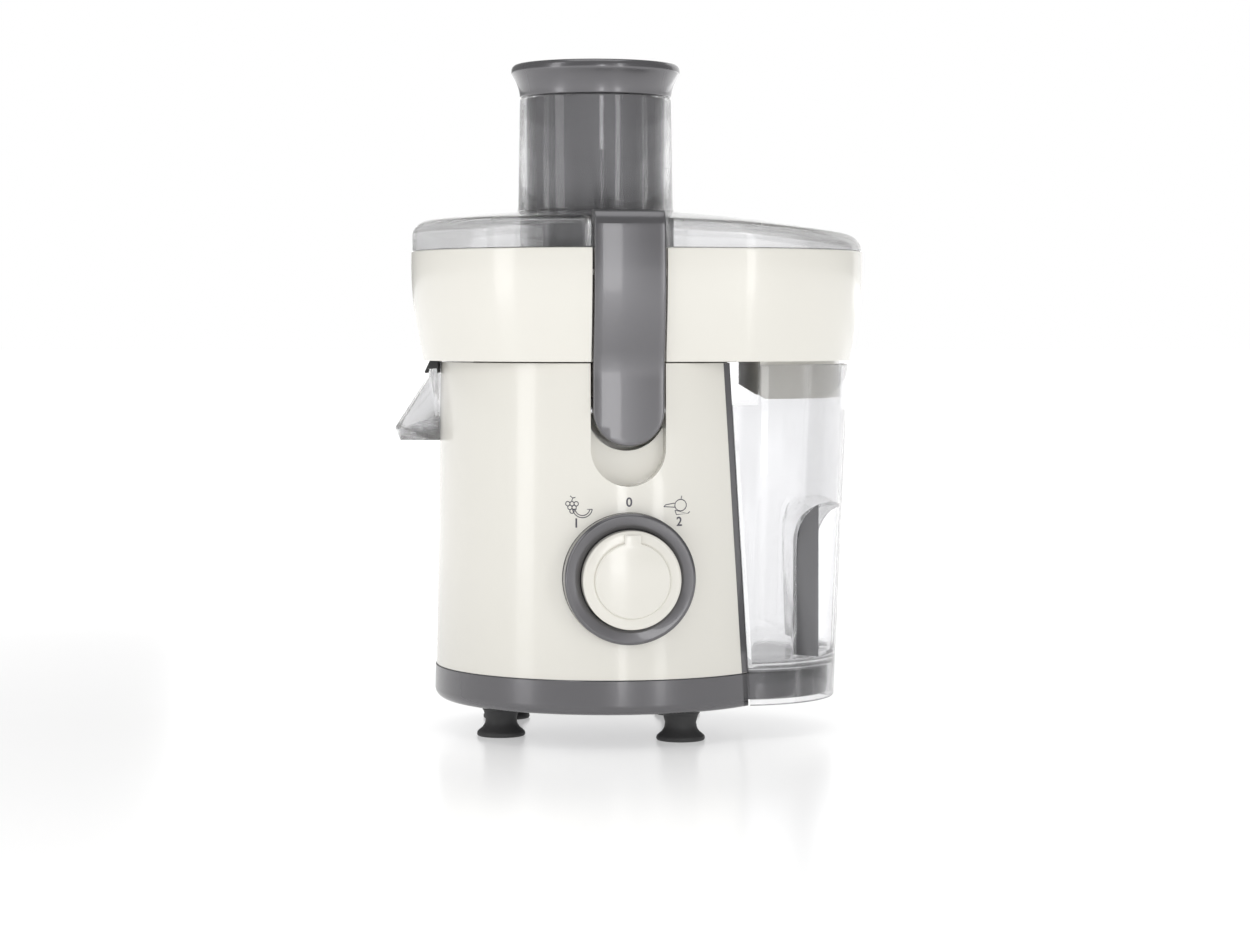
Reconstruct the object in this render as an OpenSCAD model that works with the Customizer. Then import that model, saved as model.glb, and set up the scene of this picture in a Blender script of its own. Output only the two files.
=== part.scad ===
// Centrifugal juicer with an extra-wide feeding tube, in millimetres, +Z up.
// The origin is the middle of the footprint, on the surface that the feet stand on.
// The controls face -Y, the juice spout is at -X and the pulp container at +X.

/* [Motor housing] */
// X of the motor's axis, which is also the axis of the housing and of the sieve
motor_x = -11.5; // [-12:0.25:-11]
// Radius of the housing at its foot
housing_r = 93; // [92.5:0.1:93.5]
// How much narrower the housing is at its top deck
housing_taper = 3; // [2:0.1:3.5]
// Height of the top deck
deck_z = 198; // [197.5:0.1:198.2]
// Height of the seam between the base and the housing
seam_z = 35.8; // [34:0.1:37]
// Underside of the base
base_z = 17.4; // [16.5:0.1:18]
// Thickness of the moulded walls
wall = 2.5; // [2.2:0.1:2.8]
// Angle about the motor's axis by which the knob and the clamps are turned from the front
front_turn = 7.2; // [6:0.1:8]

/* [Juice collector] */
// Radius of the collector's left end at its lower edge
ring_left_r = 91.5; // [91:0.1:92]
// X of the centre of the left end
ring_left_x = -19.5; // [-20:0.1:-19]
// Radius of the right end at its lower edge
ring_right_r = 80; // [79:0.1:81]
// X of the centre of the right end
ring_right_x = 39.2; // [38:0.1:40]
// How far the wall bellies out above the lower edge
ring_bulge = 6.4; // [5:0.1:7]
// Top edge of the collector
ring_top_z = 257; // [256:0.1:257]
// Inner radius of the bowl around the sieve
bowl_r = 70; // [69:0.5:71]

/* [Lid and feeding tube] */
// Top of the lid's dome, at the tube
dome_z = 279.5; // [278.5:0.1:280]
// Radius of the sphere that the dome is part of
dome_r = 697; // [660:1:740]
// X of the tube's axis
tube_x = -18.1; // [-18.5:0.1:-17.5]
// Outer radius of the tube at its mouth
tube_r = 40.7; // [40.4:0.1:41.5]
// Inner radius of the tube
tube_bore_r = 38.2; // [37.8:0.1:38.4]
// Height of the tube's mouth
tube_top_z = 339; // [335:0.5:342]

/* [Pusher] */
// Radius of the pusher
pusher_r = 37; // [36:0.1:37.4]
// Largest radius of the pusher's flared rim
pusher_rim_r = 45.4; // [44:0.1:46]
// Height of the flared rim
pusher_rim_h = 17.5; // [14:0.5:20]

/* [Pulp container] */
// X of the container's axis
container_x = 54; // [53:0.1:55]
// Radius of the container at its mouth
container_top_r = 64.4; // [64:0.1:64.6]
// Radius of the container at its foot
container_foot_r = 57; // [56.5:0.1:57.5]
// X of the slanted wall between housing and container, at the deck
recess_top_x = 51.4; // [51:0.1:52]
// X of the same wall at its foot
recess_foot_x = 62.5; // [62:0.1:63]
// Thickness of the clear walls
clear_wall = 2; // [1.8:0.1:2.2]

/* [Clamps] */
// Width of each clamp
clamp_w = 36.7; // [36:0.1:37]
// Height of the hinge pin
clamp_pin_z = 174; // [173:0.5:175]
// Distance of the hinge pin from the motor's axis
clamp_pin_u = 84; // [83.5:0.1:84.5]
// Radius of the hinge pin
clamp_pin_r = 2; // [1.8:0.1:2.2]

/* [Speed control] */
// Height of the knob's axis
knob_z = 88; // [86:0.5:90]
// Radius of the bezel
bezel_r = 33.75; // [33:0.25:34.5]
// Radius of the knob
knob_r = 25.25; // [24.5:0.25:25.5]

/* [Hidden] */
$fn = 96;

cream = [0.96, 0.95, 0.92];
dark_grey = [0.36, 0.36, 0.38];
clear = [0.85, 0.87, 0.9, 0.4];
rubber = [0.25, 0.25, 0.26];
steel = [0.75, 0.76, 0.78];
copper = [0.72, 0.42, 0.22];
nylon = [0.9, 0.9, 0.88];
brass = [0.8, 0.65, 0.35];
carbon = [0.15, 0.15, 0.15];

// Running clearance, in radius, of every shaft and pin that turns in a hole
running = 0.05;
// Clearance between pieces that move apart
gap = 1;
// Size of the cutting blocks that are larger than the whole juicer
vast = 400;

// The housing's slanted wall leans by this angle; heights and taper are counted from taper_z
taper_z = 20;
recess_lean = atan((recess_foot_x - recess_top_x) / (deck_z - taper_z));
function housing_radius(z) = housing_r - housing_taper * (z - taper_z) / (deck_z - taper_z);

// Container heights
container_foot_z = 18;
container_floor_z = 38;
container_top_z = deck_z - 1;
function container_radius(z) = container_foot_r + (container_top_r - container_foot_r)
    * (z - container_foot_z) / (container_top_z - container_foot_z);

// The collector's wall is an arc in section, fullest at belly_z
ring_z = deck_z + 0.8;
belly_z = 250;
belly_r = 213;
oval_turn = asin((ring_left_r - ring_right_r) / (ring_right_x - ring_left_x));
oval_run = (ring_right_x - ring_left_x) * cos(oval_turn);
tangent_inset = 0.08;
function bulge(z) = ring_bulge - belly_r + sqrt(pow(belly_r, 2) - pow(z - belly_z, 2));

// Clamp slots: half widths, and distances from the motor's axis
slot_half_w = clamp_w / 2 + 1.05;
ring_groove_u = 86;
lid_notch_u = 90;
recess_floor_u = 80;
pocket_u = 64.5;
pocket_z = 152;
recess_z = 135;
hook_seat_z = 268;

// Filter and drive heights
collar_r = 16;
hub_z = 210;
basket_z = 214;
basket_foot_r = 50;
basket_top_r = 61;
rim_z = 249;
shaft_r = 4;

// Motor heights
stator_z = 88;
stator_h = 40;
armature_r = 19;

// ---- shared shapes ----

// Space on the motor's side of the slanted wall; shift moves the wall along X
module left_of_recess(shift = 0)
    translate([recess_foot_x + shift, 0, taper_z]) rotate([0, -recess_lean, 0])
        translate([-vast, -vast / 2, -vast / 4]) cube(vast);

// Space on the container's side of the slanted wall
module right_of_recess(shift = 0)
    translate([recess_foot_x + shift, 0, taper_z]) rotate([0, -recess_lean, 0])
        translate([0, -vast / 2, -vast / 4]) cube(vast);

module housing_cone(inset, z0, z1)
    translate([motor_x, 0, z0])
        cylinder(r1 = housing_radius(z0) - inset, r2 = housing_radius(z1) - inset, h = z1 - z0);

module container_cone(inset, z0, z1)
    translate([container_x, 0, z0])
        cylinder(r1 = container_radius(z0) - inset, r2 = container_radius(z1) - inset, h = z1 - z0);

// Half section of the bellied oval, from its axis out to the wall
function oval_section(r, inset, z0, z1, steps) = concat(
    [[0, z0]],
    [for (i = [0:steps]) let (z = z0 + (z1 - z0) * i / steps) [r + bulge(z) - inset, z]],
    [[0, z1]]);

module oval_end(x, r, inset, z0, z1, steps)
    translate([x, 0, 0]) rotate_extrude() polygon(oval_section(r, inset, z0, z1, steps));

// The bellied oval of the collector and the lid: two round ends and the two stretches between
// them, which stand back from the ends' faces by tangent_inset so that they meet cleanly
module oval(inset, z0, z1, steps = 5) {
    oval_end(ring_left_x, ring_left_r, inset, z0, z1, steps);
    oval_end(ring_right_x, ring_right_r, inset, z0, z1, steps);
    for (back = [0, 1])
        mirror([0, back, 0]) translate([ring_left_x, 0, 0]) rotate([90, 0, oval_turn - 90])
            translate([0, 0, -oval_run]) linear_extrude(oval_run)
                polygon(oval_section(ring_left_r, inset + tangent_inset, z0 + tangent_inset,
                                     z1 - tangent_inset, steps));
}

// Local frame of the knob and the clamps: +Y points outwards from the motor's axis
module facing(back = 0)
    mirror([0, back, 0]) translate([motor_x, 0, 0]) rotate([0, 0, front_turn]) mirror([0, 1, 0])
        children();

// A plate of the given width, extruded along X from an outline in Y and Z
module across(width)
    translate([-width / 2, 0, 0]) rotate([90, 0, 90]) linear_extrude(width) children();

// A drum whose axis points outwards, from distance u0 to u1
module drum(r, u0, u1, z)
    translate([0, u0, z]) rotate([-90, 0, 0]) cylinder(r = r, h = u1 - u0);

module block(half_w, u0, u1, z0, z1)
    translate([-half_w, u0, z0]) cube([2 * half_w, u1 - u0, z1 - z0]);

module ring(r_in, r_out, z0, z1)
    translate([0, 0, z0]) difference() {
        cylinder(r = r_out, h = z1 - z0);
        translate([0, 0, -1]) cylinder(r = r_in, h = z1 - z0 + 2);
    }

module at_motor() translate([motor_x, 0, 0]) children();

// ---- housing and base ----

boss_angles = [45, 135, 225, 315];
boss_ring_r = 86;
module at_bosses()
    at_motor() for (a = boss_angles) rotate([0, 0, a]) translate([boss_ring_r, 0, 0]) children();

// Slot for a clamp: a finger recess below and a deeper pocket for its swing
module clamp_pocket() {
    drum(slot_half_w, recess_floor_u, 110, recess_z + slot_half_w);
    block(slot_half_w, recess_floor_u, 110, recess_z + slot_half_w, deck_z + 1);
    block(slot_half_w, pocket_u, 110, pocket_z, deck_z + 1);
}

module clamp_pocket_walls()
    block(slot_half_w + 3, pocket_u - wall, 100, recess_z - wall, deck_z);

module motor_housing() color(cream) difference() {
    intersection() {
        union() {
            difference() {
                housing_cone(0, seam_z, deck_z);
                intersection() {
                    housing_cone(wall, seam_z - 1, deck_z - 3);
                    left_of_recess(-wall);
                }
            }
            for (back = [0, 1]) facing(back) clamp_pocket_walls();
            at_bosses() translate([0, 0, seam_z]) cylinder(r = 5, h = 45);
        }
        housing_cone(0, seam_z, deck_z);
        left_of_recess();
    }
    for (back = [0, 1]) facing(back) {
        clamp_pocket();
        translate([-slot_half_w - 10, clamp_pin_u, clamp_pin_z]) rotate([0, 90, 0])
            translate([0, 0, 8]) cylinder(r = clamp_pin_r, h = 2 * slot_half_w + 4);
    }
    facing() drum(bezel_r + 0.15, recess_floor_u, 110, knob_z);
    at_motor() translate([0, 0, deck_z - 4]) cylinder(r = 12, h = 6);
    at_bosses() translate([0, 0, seam_z - 1]) cylinder(r = 1.6, h = 30);
}

post_x = 26;
post_y = 20;
module at_posts()
    at_motor() for (x = [-post_x, post_x], y = [-post_y, post_y]) translate([x, y, 0]) children();

foot_places = [[-68, -36], [27, -53], [-68, 36], [27, 53]];
gland_z = 27;
gland_r = 6.5;
gland_bore_r = 3.5;
gland_end_y = 108;
base_floor = 3;
base_lip = 0.6;
base_fillet = 5;

// Half section of the base, with a rounded lower edge
function base_section() = concat(
    [[0, base_z]],
    [for (a = [0:15:90]) [housing_r + base_lip - base_fillet * (1 - sin(a)),
                          base_z + base_fillet * (1 - cos(a))]],
    [[housing_radius(seam_z) + base_lip, seam_z], [0, seam_z]]);

shelf_r = 53.4;
shelf_z = 21;
shelf_top_z = 35.6;
module base_pan() color(dark_grey) difference() {
    union() {
        difference() {
            intersection() {
                at_motor() rotate_extrude() polygon(base_section());
                left_of_recess();
            }
            intersection() {
                housing_cone(wall, base_z + base_floor, seam_z + 1);
                left_of_recess(-wall);
            }
        }
        difference() {
            intersection() {
                translate([container_x, 0, shelf_z]) cylinder(r = shelf_r, h = shelf_top_z - shelf_z);
                right_of_recess(-wall);
            }
            intersection() {
                translate([container_x, 0, shelf_z + base_floor])
                    cylinder(r = shelf_r - wall, h = shelf_top_z - shelf_z - 2 * base_floor);
                right_of_recess(0);
            }
        }
        at_posts() translate([0, 0, base_z + 1]) cylinder(r = 6, h = 28);
        at_bosses() translate([0, 0, base_z + 1]) cylinder(r = 5, h = seam_z - base_z - 1.3);
    }
    at_posts() translate([0, 0, 32]) cylinder(r = 1.6, h = 20);
    at_bosses() translate([0, 0, base_z - 1]) cylinder(r = 1.7, h = 30);
    at_bosses() translate([0, 0, base_z - 1]) cylinder(r = 3.4, h = 4);
    for (p = foot_places) translate([p[0], p[1], base_z - 1]) cylinder(r = 4.1, h = 8);
    translate([motor_x, 80, gland_z]) rotate([-90, 0, 0]) cylinder(r = gland_r, h = 30);
    // Cooling slots under the motor
    at_motor() for (i = [-3:3]) translate([i * 6 - 1.2, -14, base_z - 1]) cube([2.4, 28, 6]);
}

// Suction foot: a stem that narrows downwards and spreads into a soft disc
module foot(place) color(rubber) translate([place[0], place[1], 0]) rotate_extrude()
    polygon([[0, 1.2], [9, 0.6], [11, 0], [12.6, 0], [12.9, 1.4], [12.4, 3], [9.4, 5.2], [8.2, 7],
             [8, 9], [10, base_z - 0.6], [10, base_z], [4, base_z], [4, base_z + 6], [0, base_z + 6]]);

module foot_front_left() foot(foot_places[0]);
module foot_front_right() foot(foot_places[1]);
module foot_rear_left() foot(foot_places[2]);
module foot_rear_right() foot(foot_places[3]);

module base_screws() color(steel) at_bosses() {
    translate([0, 0, base_z + 3]) cylinder(r = 1.55, h = 26);
    translate([0, 0, base_z + 0.6]) cylinder(r = 3.2, h = 2.4);
}

// ---- juice collector ----

skirt_z = 179;
skirt_r = 59.6;
flange_z = 243;
flange_top_z = 246;
outlet_half_w = 14;
hood_z = 192;
hood_x = [-109.6, -102.6];
hood_wall = 1.6;
spout_back_x = hood_x[1] - hood_wall;

// Plan of the pulp chute: round like the container, its near walls running in to the bowl
module chute(inset, z0, z1) intersection() {
    translate([container_x, 0, z0]) cylinder(r = skirt_r - inset, h = z1 - z0);
    translate([inset, 0, z0]) linear_extrude(z1 - z0)
        polygon([[59, -16], [69, -62], [vast / 2, -62], [vast / 2, 62], [69, 62], [59, 16]]);
}

module bowl_drum(inset, z0, z1)
    at_motor() translate([0, 0, z0]) cylinder(r = bowl_r + wall - inset, h = z1 - z0);

// Walls of the outlet that leads the juice over the housing's edge to the spout
module outlet(inset, z0, z1)
    translate([hood_x[0] + inset, -outlet_half_w + inset, z0])
        cube([motor_x - bowl_r - hood_x[0] - inset, 2 * (outlet_half_w - inset), z1 - z0]);

// Walls round a clamp's groove, in Y and Z; they end inside the outer wall
groove_rim_u = 87.2;
function groove_walls() = concat(
    [[ring_groove_u - wall, ring_z]],
    [for (i = [0:6]) let (z = ring_z + (ring_top_z - ring_z) * i / 6) [groove_rim_u + bulge(z), z]],
    [[ring_groove_u - wall, ring_top_z]]);

module juice_collector() color(cream) difference() {
    union() {
        difference() {
            oval(0, ring_z, ring_top_z);
            oval(wall, ring_z - 1, ring_top_z + 1);
        }
        difference() {
            oval(1.2, flange_z, flange_top_z, 1);
            bowl_drum(wall, flange_z - 1, flange_top_z + 1);
        }
        difference() {
            bowl_drum(0, deck_z, flange_top_z);
            bowl_drum(wall, deck_z + 3, flange_top_z + 1);
        }
        at_motor() translate([0, 0, deck_z]) cylinder(r = collar_r + 2, h = 10);
        difference() {
            chute(0, skirt_z, flange_top_z);
            bowl_drum(0.5, skirt_z - 1, flange_top_z + 1);
            bowl_drum(-2, skirt_z - 1, ring_z);
        }
        for (back = [0, 1]) facing(back) across(2 * slot_half_w + 6) polygon(groove_walls());
        outlet(0, ring_z, ring_z + 18);
        translate([hood_x[0], -outlet_half_w - 1, hood_z])
            cube([hood_x[1] - hood_x[0], 2 * outlet_half_w + 2, ring_z - hood_z + 3]);
    }
    for (back = [0, 1]) facing(back) block(slot_half_w, ring_groove_u, 120, ring_z - 1, ring_top_z + 1);
    at_motor() translate([0, 0, deck_z - 1]) cylinder(r = collar_r, h = 20);
    difference() {
        chute(clear_wall, skirt_z - 1, flange_top_z + 1);
        bowl_drum(0, skirt_z - 2, flange_top_z + 2);
    }
    // The skirt's lower edge rises towards the motor
    translate([0, 80, 0]) rotate([90, 0, 0]) linear_extrude(160)
        polygon([[53, skirt_z - 5], [71, skirt_z - 5], [71, skirt_z], [58, 186.5], [53, 186.5]]);
    // The outlet's passage: through the bowl, along the duct and down through the hood
    difference() {
        outlet(2, ring_z + 2.2, ring_z + 16);
        translate([motor_x - bowl_r + 2, -50, 0]) cube([50, 100, vast]);
    }
    translate([motor_x - bowl_r - 4, -outlet_half_w + 2, ring_z + 2.2])
        cube([6, 2 * outlet_half_w - 4, 13.8]);
    translate([hood_x[0] + hood_wall, -outlet_half_w + 0.6, hood_z - 1])
        cube([spout_back_x - hood_x[0] - hood_wall, 2 * outlet_half_w - 1.2, 14]);
}

// Clear spout under the hood, as a hollow wedge that is open above and below
spout_half_w = 13;
spout_tip = [-125.6, 163];
module spout_wedge(inset, half_w)
    rotate([90, 0, 0]) translate([0, 0, -half_w]) linear_extrude(2 * half_w)
        polygon([[spout_back_x, 197 + inset], [-107.6 + inset, 197 + inset],
                 [-107.6 + inset, 190.8 - inset / 2],
                 [spout_tip[0] + 1.5 * inset, spout_tip[1] + 0.3 * inset],
                 [spout_tip[0] + 3.4 + inset, 156 - 2 * inset],
                 [spout_back_x - inset / 2, 156 - 2 * inset]]);
module spout() color(clear) difference() {
    spout_wedge(0, spout_half_w);
    difference() {
        spout_wedge(1.6, spout_half_w - 1.6);
        translate([spout_back_x - 1.4, -50, 150]) cube([10, 100, 60]);
    }
}

// ---- lid and pusher ----

lid_z = ring_top_z + 0.3;
tube_foot_z = 226;
lid_lip_z = 250.5;
// Space under the dome: a very flat cap, in a few conical rings
dome_reach = 160;
function dome_fall(r) = dome_r - sqrt(pow(dome_r, 2) - pow(r, 2));
module dome(inset) translate([tube_x, 0, dome_z - inset]) rotate_extrude()
    polygon(concat([[0, -100]], [for (i = [0:8]) let (r = dome_reach * i / 8) [r, -dome_fall(r)]],
                   [[dome_reach, -100]]));
module at_tube() translate([tube_x, 0, 0]) children();

// Upright oval of the lid, to the collector's outline at its belly
module lid_plan(inset, z0, z1) {
    translate([ring_left_x, 0, z0]) cylinder(r = ring_left_r + ring_bulge - inset, h = z1 - z0);
    translate([ring_right_x, 0, z0]) cylinder(r = ring_right_r + ring_bulge - inset, h = z1 - z0);
    for (back = [0, 1])
        mirror([0, back, 0]) translate([ring_left_x, 0, z0]) rotate([0, 0, oval_turn])
            translate([0, -ring_left_r - ring_bulge + inset + tangent_inset, 0])
                cube([oval_run, 60, z1 - z0]);
}

// Domed shell, with an opening for each hook seat
module lid_shell() difference() {
    intersection() {
        lid_plan(0.6, lid_z, dome_z);
        dome(0);
    }
    intersection() {
        lid_plan(0.6 + wall, lid_z - 1, dome_z + 1);
        dome(wall);
    }
    for (back = [0, 1]) facing(back) block(seat_half_w, seat_back_u, 120, lid_z - 1, dome_z + 5);
    at_tube() translate([0, 0, tube_foot_z]) cylinder(r = tube_bore_r, h = 100);
}

// Seat of a hook: a tray let into the lid's shoulder, with a lead-in so that the hook slides off
seat_half_w = slot_half_w + 3;
seat_back_u = 77;
seat_rim_u = 94.7;
seat_rim_z = 272.2;
seat_back_z = 274;
module hook_seat() facing() {
    across(2 * slot_half_w + 0.8) polygon([
        [seat_back_u, lid_z], [seat_back_u + wall, lid_z], [seat_back_u + wall, hook_seat_z - wall],
        [lid_notch_u - wall, hook_seat_z - wall], [lid_notch_u - wall, lid_z], [lid_notch_u, lid_z],
        [lid_notch_u, hook_seat_z - 4], [lid_notch_u - 4, hook_seat_z],
        [seat_back_u + wall, hook_seat_z], [seat_back_u + wall, seat_back_z],
        [seat_back_u, seat_back_z]]);
    for (side = [-1, 1]) translate([side * (slot_half_w + 1.65), 0, 0]) across(2.7)
        polygon([[seat_back_u, lid_z], [seat_rim_u, lid_z], [seat_rim_u, seat_rim_z],
                 [seat_back_u, seat_back_z]]);
}

// Lip that drops inside the collector's wall
module lid_lip() difference() {
    union() {
        lid_plan(wall + 0.7, lid_lip_z, lid_z + 1);
        lid_plan(wall - 0.3, lid_z, lid_z + 2);
    }
    lid_plan(wall + 2.3, lid_lip_z - 1, lid_z + 3);
    for (back = [0, 1]) facing(back) block(seat_half_w + 0.6, seat_back_u, 120, lid_lip_z - 1, dome_z);
}

module feeding_tube() at_tube() difference() {
    union() {
        translate([0, 0, tube_foot_z]) cylinder(r = tube_r, h = dome_z - 4 - tube_foot_z);
        translate([0, 0, dome_z - 6])
            cylinder(r1 = tube_r + 1, r2 = tube_r, h = tube_top_z - dome_z + 6);
    }
    translate([0, 0, tube_foot_z - 1]) cylinder(r = tube_bore_r, h = tube_top_z - tube_foot_z + 2);
}

module lid() color(clear) {
    lid_shell();
    hook_seat();
    mirror([0, 1, 0]) hook_seat();
    lid_lip();
    feeding_tube();
}

pusher_foot_z = 224;
pusher_top_z = tube_top_z + 0.5 + pusher_rim_h;
// Section of the flared rim: a hollow curve outwards, then a rounded top edge
flare_foot_r = tube_r;
flare_h = pusher_rim_h - 4;
function flare_outline(z0) = concat(
    [for (i = [0:6]) let (t = i / 6)
        [flare_foot_r + (pusher_rim_r - flare_foot_r) * pow(t, 2), z0 + flare_h * t]],
    [for (a = [20:20:100]) [pusher_rim_r - 3 + 3 * cos(a), z0 + flare_h + 4 * sin(a)]]);
module pusher() color(dark_grey) at_tube() difference() {
    rotate_extrude() polygon(concat(
        [[0, pusher_foot_z], [pusher_r - 1, pusher_foot_z], [pusher_r, pusher_foot_z + 1],
         [pusher_r, tube_top_z + 0.5]],
        flare_outline(tube_top_z + 0.5),
        [[pusher_rim_r - 6, pusher_top_z], [0, pusher_top_z]]));
    translate([0, 0, pusher_foot_z + wall]) cylinder(r = pusher_r - wall, h = vast);
    translate([0, 0, pusher_top_z - 12]) cylinder(r1 = pusher_r - wall, r2 = pusher_rim_r - 6, h = 12.01);
}

// ---- clamps ----

// Side outline: a lobe on the pin, an arm that follows the collector's belly, a hook on the lid
hook_tip_u = 84;
hook_z = hook_seat_z + gap;
clamp_top_z = 276.5;
arm_face_u = 92.2;
arm_back_u = ring_groove_u + gap;
function clamp_outline() = concat(
    [[79.6, 154], [arm_face_u + 0.4, 154]],
    [for (i = [0:8]) let (z = deck_z + 8 * i) [arm_face_u + bulge(z), z]],
    [for (a = [15:15:90]) [90.4 + 7.9 * cos(a), 266 + (clamp_top_z - 266) * sin(a)]],
    [[hook_tip_u + 1.5, clamp_top_z], [hook_tip_u, clamp_top_z - 1.5], [hook_tip_u, hook_z],
     [lid_notch_u + gap, hook_z], [lid_notch_u + gap, lid_z], [arm_back_u, lid_z - 2],
     [arm_back_u, 184], [79.6, 178]]);

module clamp_body() difference() {
    intersection() {
        across(clamp_w) polygon(clamp_outline());
        union() {
            drum(clamp_w / 2, 70, 110, clamp_pin_z);
            block(clamp_w / 2, 70, 110, clamp_pin_z, 300);
        }
    }
    translate([-clamp_w, clamp_pin_u, clamp_pin_z]) rotate([0, 90, 0])
        cylinder(r = clamp_pin_r + running, h = 2 * clamp_w);
}
module clamp_front() color(dark_grey) facing(0) clamp_body();
module clamp_rear() color(dark_grey) facing(1) clamp_body();

module clamp_pin() color(steel)
    translate([-slot_half_w - 2, clamp_pin_u, clamp_pin_z]) rotate([0, 90, 0])
        cylinder(r = clamp_pin_r, h = 2 * slot_half_w + 4);
module clamp_pin_front() facing(0) clamp_pin();
module clamp_pin_rear() facing(1) clamp_pin();

// ---- pulp container ----

grip_x = 91;
grip_top_z = 127;
grip_half_w = 16;
grip_arch_r = 22;
near_wall_top_z = 176;
recess_gap = 1;

// Hand grip: an arched hollow in each side of the container's outer end
grip_foot_z = container_floor_z + clear_wall;
module grip_hollow(grow) for (back = [0, 1]) mirror([0, back, 0])
    translate([0, -grip_half_w + grow, 0]) rotate([90, 0, 0]) linear_extrude(100)
        polygon(concat(
            [[grip_x - grow, grip_foot_z - grow]],
            [for (a = [180:-15:90]) [grip_x + grip_arch_r + (grip_arch_r + grow) * cos(a),
                                    grip_top_z - grip_arch_r + (grip_arch_r + grow) * sin(a)]],
            [[150, grip_top_z + grow], [150, grip_foot_z - grow]]));

module pulp_container() color(clear) difference() {
    intersection() {
        container_cone(0, container_foot_z, container_top_z);
        right_of_recess(recess_gap);
    }
    grip_hollow(0);
    // Hollow for the pulp; the wall next to the motor stops under the collector's skirt
    difference() {
        container_cone(clear_wall, container_floor_z + clear_wall, container_top_z + 1);
        intersection() {
            left_of_recess(recess_gap + clear_wall);
            translate([-vast / 2, -vast / 2, 0]) cube([vast, vast, near_wall_top_z]);
        }
        grip_hollow(clear_wall);
    }
    // Space under the floor for the base's shelf, open towards the motor
    container_cone(clear_wall, container_foot_z - 1, container_floor_z);
}

// ---- sieve ----

module filter_hub() color(nylon) at_motor() difference() {
    union() {
        translate([0, 0, hub_z]) cylinder(r = basket_foot_r + 1, h = basket_z - hub_z);
        translate([0, 0, deck_z + 3.4]) cylinder(r = 14, h = basket_z - deck_z - 3.4);
    }
    translate([0, 0, deck_z + 2]) coupling_star(11.2, 12);
    translate([0, 0, deck_z]) cylinder(r = shaft_r, h = 30);
}

module filter_mesh() color(steel) at_motor() difference() {
    translate([0, 0, basket_z]) cylinder(r1 = basket_foot_r + 0.6, r2 = basket_top_r + 0.6,
                                         h = rim_z - basket_z);
    translate([0, 0, basket_z - 0.01]) cylinder(r1 = basket_foot_r, r2 = basket_top_r,
                                                h = rim_z - basket_z + 0.02);
}

module filter_rim() color(nylon) at_motor() ring(basket_top_r - 2, basket_top_r + 3, rim_z, rim_z + 3);

module grating_disc() color(steel) at_motor() {
    translate([0, 0, basket_z]) cylinder(r = basket_foot_r - 1, h = 1);
    for (ring_no = [1:5], i = [0:5])
        rotate([0, 0, 60 * i + 13 * ring_no]) translate([8 * ring_no, 0, basket_z + 1])
            translate([-0.3, -1.5, 0]) cube([0.6, 3, 1.5]);
}

// Star of six lobes that carries the sieve round
module coupling_star(r, h) {
    translate([0, 0, 0.3]) cylinder(r = r - 2, h = h - 0.6);
    for (i = [0:2]) rotate([0, 0, 60 * i]) translate([-1.6, -r, 0]) cube([3.2, 2 * r, h]);
}
module drive_coupling() color(dark_grey) at_motor() translate([0, 0, deck_z + 1.4]) difference() {
    coupling_star(10.8, 11.6);
    translate([0, 0, -1]) cylinder(r = shaft_r, h = 20);
}

module shaft_seal() color(rubber) at_motor() ring(shaft_r + running, 12, deck_z - 3, deck_z + 0.4);

// ---- motor ----

module motor_shaft() color(steel) at_motor() translate([0, 0, 48]) cylinder(r = shaft_r, h = 160);

module armature_core() color(steel) at_motor() difference() {
    translate([0, 0, stator_z]) cylinder(r = armature_r, h = stator_h);
    translate([0, 0, stator_z - 1]) cylinder(r = shaft_r, h = stator_h + 2);
    for (i = [0:11]) rotate([0, 0, 30 * i]) translate([12, -1.2, stator_z - 1])
        cube([6, 2.4, stator_h + 2]);
}

// Copper in the slots, with an end turn above and below the core
module armature_winding() color(copper) at_motor() {
    for (i = [0:11]) rotate([0, 0, 30 * i]) translate([12.2, -1, stator_z - 2])
        cube([5.6, 2, stator_h + 4]);
    ring(shaft_r, 17.6, stator_z - 7, stator_z - 1);
    ring(shaft_r, 17.6, stator_z + stator_h + 1, stator_z + stator_h + 7);
}

module commutator() color(copper) at_motor() difference() {
    ring(shaft_r, 11, 66, 80);
    for (i = [0:11]) rotate([0, 0, 30 * i]) translate([9.5, -0.25, 65]) cube([3, 0.5, 16]);
}

// Room that the two field coils take up around the poles
module coil_space() for (side = [-1, 1]) intersection() {
    ring(21.5, 27, stator_z - 6, stator_z + stator_h + 6);
    translate([-30, side > 0 ? 8 : -30, 0]) cube([60, 22, vast]);
}
module stator_core() color(steel) at_motor() difference() {
    intersection() {
        ring(armature_r + 0.6, 36, stator_z, stator_z + stator_h);
        translate([-31, -31, 0]) cube([62, 62, vast]);
    }
    coil_space();
    at_bolts() cylinder(r = 2.1, h = vast);
}
module field_coils() color(copper) at_motor() coil_space();

bolt_x = 24;
bolt_y = 20.5;
module at_bolts() for (side = [-1, 1]) translate([side * bolt_x, side * bolt_y, 0]) children();
module motor_bolts() color(steel) at_motor() at_bolts() {
    translate([0, 0, 54]) cylinder(r = 2, h = 110);
    translate([0, 0, 162]) cylinder(r = 3.6, h = 3);
}

module cooling_fan() color(nylon) at_motor() {
    ring(shaft_r, 8, 138, 148);
    ring(shaft_r, 18, 138, 139.5);
    for (i = [0:8]) rotate([0, 0, 40 * i]) translate([6, -0.7, 138]) cube([14, 1.4, 9]);
}

module bearing(z) color(steel) at_motor() ring(shaft_r + running, 9, z, z + 6);
module upper_bearing() bearing(154);
module lower_bearing() bearing(56);

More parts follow.
